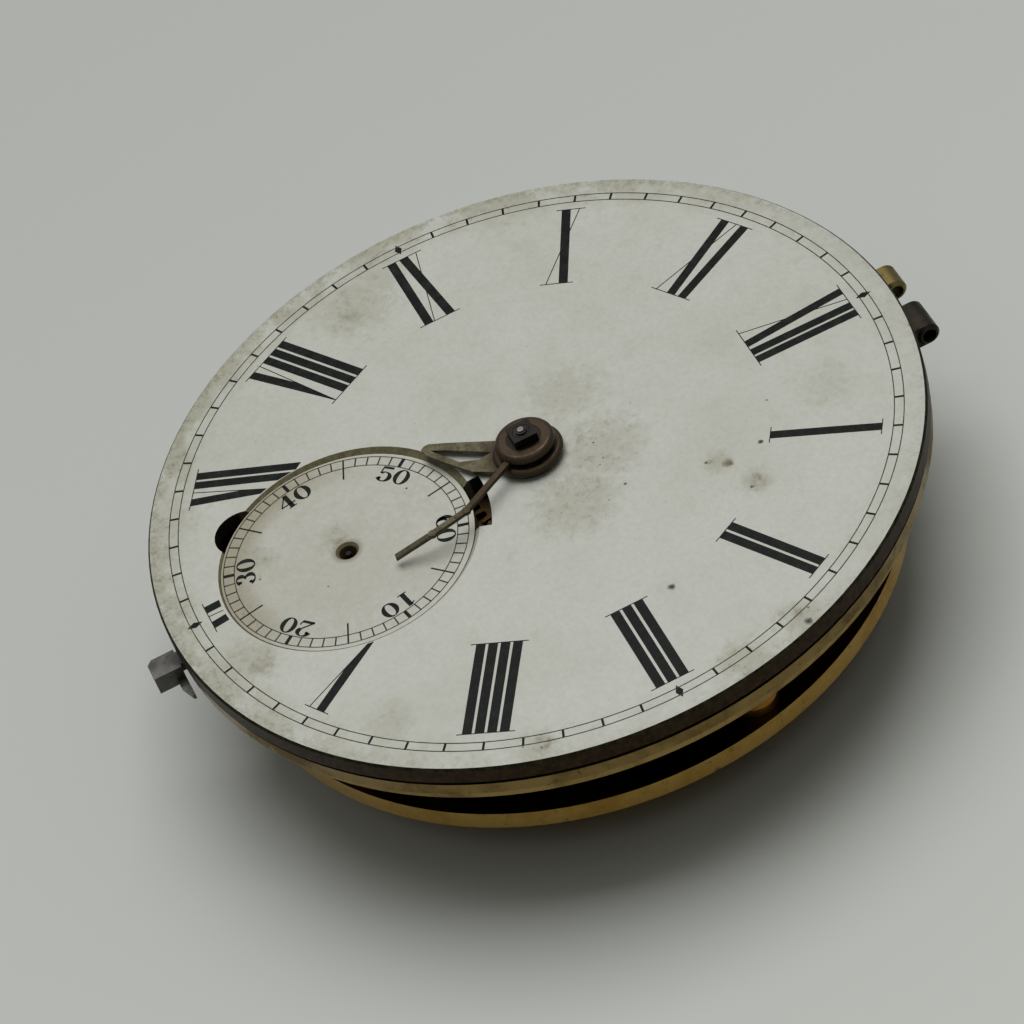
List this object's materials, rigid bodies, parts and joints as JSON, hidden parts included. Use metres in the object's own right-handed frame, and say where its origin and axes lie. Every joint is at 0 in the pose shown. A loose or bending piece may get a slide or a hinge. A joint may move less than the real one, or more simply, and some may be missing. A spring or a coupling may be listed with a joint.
{
  "type": "pocket watch movement",
  "caption": "Key-wound full-plate pocket watch movement with a white Roman-numeral enamel dial, sunk seconds dial, broken hands, fusee and chain, lever escapement and hinged case fixing.",
  "frame": {"origin": "on the centre arbor axis, at the lowest point of the back (the balance cock table)", "axes": "+X towards III, +Y towards XII and the case joint, +Z out of the dial"},
  "size_m": [0.043, 0.046, 0.0134],
  "materials": {
    "enamel": "glossy vitreous enamel, stained",
    "brass": "aged, dull",
    "gilt": "old gilding, matte",
    "steel": "polished, lightly tarnished",
    "dark_steel": "darkened",
    "copper": "bare copper",
    "hands": "patinated",
    "ruby": "polished"
  },
  "bodies": {
    "frame": {"dial": "enamel", "seconds_dial": "enamel", "dial_feet": "copper", "dial_pins": "brass", "brass_edge": "brass", "dial_side_screws": "steel", "joint_knuckle_left": "brass", "joint_knuckle_right": "dark_steel", "bolt_spring": "steel", "pillar_plate": "brass", "pillar_1": "brass", "pillar_2": "brass", "pillar_3": "brass", "pillar_4": "brass", "pillar_pins": "steel", "top_plate": "gilt", "barrel_bridge": "gilt", "back_screws": "steel", "barrel_arbor": "steel", "setup_ratchet": "steel", "setup_click": "steel", "chain_run": "steel", "banking_pins": "steel", "hairspring": "steel", "hairspring_stud": "steel", "balance_cock": "gilt", "potence": "brass", "balance_jewels": "ruby", "minute_post": "steel"},
    "minute": {"cannon_pinion": "steel", "minute_hand": "hands"},
    "minute_wheel": {"minute_wheel": "brass"},
    "hour": {"hour_wheel": "brass", "hour_hand": "hands"},
    "fourth": {"fourth_wheel": "brass", "fourth_arbor": "steel"},
    "escape": {"escape_wheel": "brass", "escape_arbor": "steel"},
    "third": {"third_wheel": "brass", "third_arbor": "steel"},
    "centre": {"centre_wheel": "brass", "centre_arbor": "steel"},
    "great": {"great_wheel": "brass", "maintaining_ratchet": "steel"},
    "fusee": {"fusee": "brass", "fusee_arbor": "steel", "chain_on_fusee": "steel"},
    "barrel": {"barrel": "brass", "barrel_cover": "brass", "mainspring": "steel", "chain_on_barrel": "steel"},
    "balance": {"balance": "gilt", "balance_staff": "steel", "roller": "steel", "impulse_pin": "ruby"},
    "lever": {"lever": "steel", "pallet_stones": "ruby", "pallet_arbor": "steel"},
    "bolt": {"bolt": "steel"},
    "regulator": {"regulator": "steel"}
  },
  "joints": [
    {"name": "minute_turn", "type": "hinge", "parent": "frame", "child": "minute", "pos_m": [0, 0, 0.006], "axis": [0, 0, 1], "continuous": true},
    {"name": "minute_wheel_turn", "type": "hinge", "parent": "frame", "child": "minute_wheel", "pos_m": [0.0024, -0.00416, 0.006], "axis": [0, 0, 1], "continuous": true},
    {"name": "hour_turn", "type": "hinge", "parent": "frame", "child": "hour", "pos_m": [0, 0, 0.006], "axis": [0, 0, 1], "continuous": true},
    {"name": "fourth_turn", "type": "hinge", "parent": "frame", "child": "fourth", "pos_m": [0, -0.011, 0.006], "axis": [0, 0, 1], "continuous": true},
    {"name": "escape_turn", "type": "hinge", "parent": "frame", "child": "escape", "pos_m": [-0.00536, -0.011, 0.006], "axis": [0, 0, 1], "continuous": true},
    {"name": "third_turn", "type": "hinge", "parent": "frame", "child": "third", "pos_m": [0.00459, -0.00645, 0.006], "axis": [0, 0, 1], "continuous": true},
    {"name": "centre_turn", "type": "hinge", "parent": "frame", "child": "centre", "pos_m": [0, 0, 0.006], "axis": [0, 0, 1], "continuous": true},
    {"name": "great_turn", "type": "hinge", "parent": "frame", "child": "great", "pos_m": [-0.00837, 0.00483, 0.006], "axis": [0, 0, 1], "continuous": true},
    {"name": "fusee_wind", "type": "hinge", "parent": "frame", "child": "fusee", "pos_m": [-0.00837, 0.00483, 0.006], "axis": [0, 0, 1], "range_deg": [-576, 1188], "deforming": ["chain_on_fusee", "chain_run", "chain_on_barrel", "mainspring"]},
    {"name": "barrel_turn", "type": "hinge", "parent": "frame", "child": "barrel", "pos_m": [0.0076, 0.0076, 0.006], "axis": [0, 0, 1], "range_deg": [-352, 724]},
    {"name": "balance_swing", "type": "hinge", "parent": "frame", "child": "balance", "pos_m": [-0.0076, -0.0052, 0.006], "axis": [0, 0, 1], "range_deg": [-220, 220], "stiffness_Nm_per_rad": 0.0000022, "deforming": ["hairspring"]},
    {"name": "lever_rock", "type": "hinge", "parent": "frame", "child": "lever", "pos_m": [-0.00883, -0.00973, 0.006], "axis": [0, 0, 1], "range_deg": [-5, 5]},
    {"name": "bolt_slide", "type": "slide", "parent": "frame", "child": "bolt", "axis": [0, 1, 0], "range_m": [0, 0.0011], "stiffness_N_per_m": 60, "deforming": ["bolt_spring"]},
    {"name": "regulator_turn", "type": "hinge", "parent": "frame", "child": "regulator", "pos_m": [-0.0076, -0.0052, 0.006], "axis": [0, 0, 1], "range_deg": [-25, 25]}
  ],
  "couplings": [
    {"joint": "minute_wheel_turn", "follows": "minute_turn", "ratio": -0.33333},
    {"joint": "hour_turn", "follows": "minute_turn", "ratio": 0.083333},
    {"joint": "escape_turn", "follows": "fourth_turn", "ratio": -8},
    {"joint": "third_turn", "follows": "fourth_turn", "ratio": -0.13333},
    {"joint": "centre_turn", "follows": "fourth_turn", "ratio": 0.016667},
    {"joint": "great_turn", "follows": "fourth_turn", "ratio": -0.0027778},
    {"joint": "barrel_turn", "follows": "fusee_wind", "ratio": 0.60779},
    {"joint": "lever_rock", "follows": "balance_swing", "ratio": -0.0227}
  ]
}
